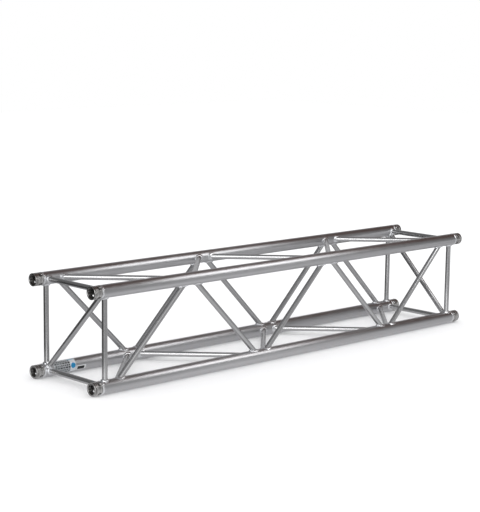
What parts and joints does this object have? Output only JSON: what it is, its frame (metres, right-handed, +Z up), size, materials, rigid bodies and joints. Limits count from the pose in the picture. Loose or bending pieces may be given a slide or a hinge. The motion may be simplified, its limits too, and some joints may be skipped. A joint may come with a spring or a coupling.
{
  "type": "lighting truss section",
  "caption": "Straight square box truss of welded aluminium tube with zigzag lacing on every side, braced end frames and a bored receiver on each chord end.",
  "frame": {"origin": "on the floor under the middle of the truss: centre of the bounding box's bottom face", "axes": "+X along the truss, +Z up, +Y across; left is -X, front is -Y"},
  "size_m": [2, 0.3892, 0.3892],
  "materials": {
    "chord_tube": "mill-finish extruded tube, satin, fine lines along its length",
    "brace_tube": "mill-finish drawn tube, satin",
    "machined_receiver": "turned, fine tool rings, darker and shinier than the tubes",
    "weld_metal": "bright rippled TIG weld bead, unground",
    "foil_label": "silver polyester foil with plain dark ruled blocks",
    "printed_tag": "pale printed film with a plain dark bar"
  },
  "bodies": {
    "root": {"chord_bottom_front": "chord_tube", "chord_bottom_rear": "chord_tube", "chord_top_front": "chord_tube", "chord_top_rear": "chord_tube", "end_cross_bottom_left": "brace_tube", "end_cross_bottom_right": "brace_tube", "end_cross_top_left": "brace_tube", "end_cross_top_right": "brace_tube", "end_diagonal_left": "brace_tube", "end_diagonal_right": "brace_tube", "end_post_front_left": "brace_tube", "end_post_front_right": "brace_tube", "end_post_rear_left": "brace_tube", "end_post_rear_right": "brace_tube", "label_foil_bottom_rear": "foil_label", "label_tag_bottom_rear": "printed_tag", "lacing_bottom_1": "brace_tube", "lacing_bottom_2": "brace_tube", "lacing_bottom_3": "brace_tube", "lacing_bottom_4": "brace_tube", "lacing_bottom_5": "brace_tube", "lacing_front_1": "brace_tube", "lacing_front_2": "brace_tube", "lacing_front_3": "brace_tube", "lacing_front_4": "brace_tube", "lacing_front_5": "brace_tube", "lacing_rear_1": "brace_tube", "lacing_rear_2": "brace_tube", "lacing_rear_3": "brace_tube", "lacing_rear_4": "brace_tube", "lacing_rear_5": "brace_tube", "lacing_top_1": "brace_tube", "lacing_top_2": "brace_tube", "lacing_top_3": "brace_tube", "lacing_top_4": "brace_tube", "lacing_top_5": "brace_tube", "receiver_bottom_front_left": "machined_receiver", "receiver_bottom_front_right": "machined_receiver", "receiver_bottom_rear_left": "machined_receiver", "receiver_bottom_rear_right": "machined_receiver", "receiver_top_front_left": "machined_receiver", "receiver_top_front_right": "machined_receiver", "receiver_top_rear_left": "machined_receiver", "receiver_top_rear_right": "machined_receiver", "ring_weld_bottom_front_left": "weld_metal", "ring_weld_bottom_front_right": "weld_metal", "ring_weld_bottom_rear_left": "weld_metal", "ring_weld_bottom_rear_right": "weld_metal", "ring_weld_top_front_left": "weld_metal", "ring_weld_top_front_right": "weld_metal", "ring_weld_top_rear_left": "weld_metal", "ring_weld_top_rear_right": "weld_metal"}
  },
  "joints": []
}
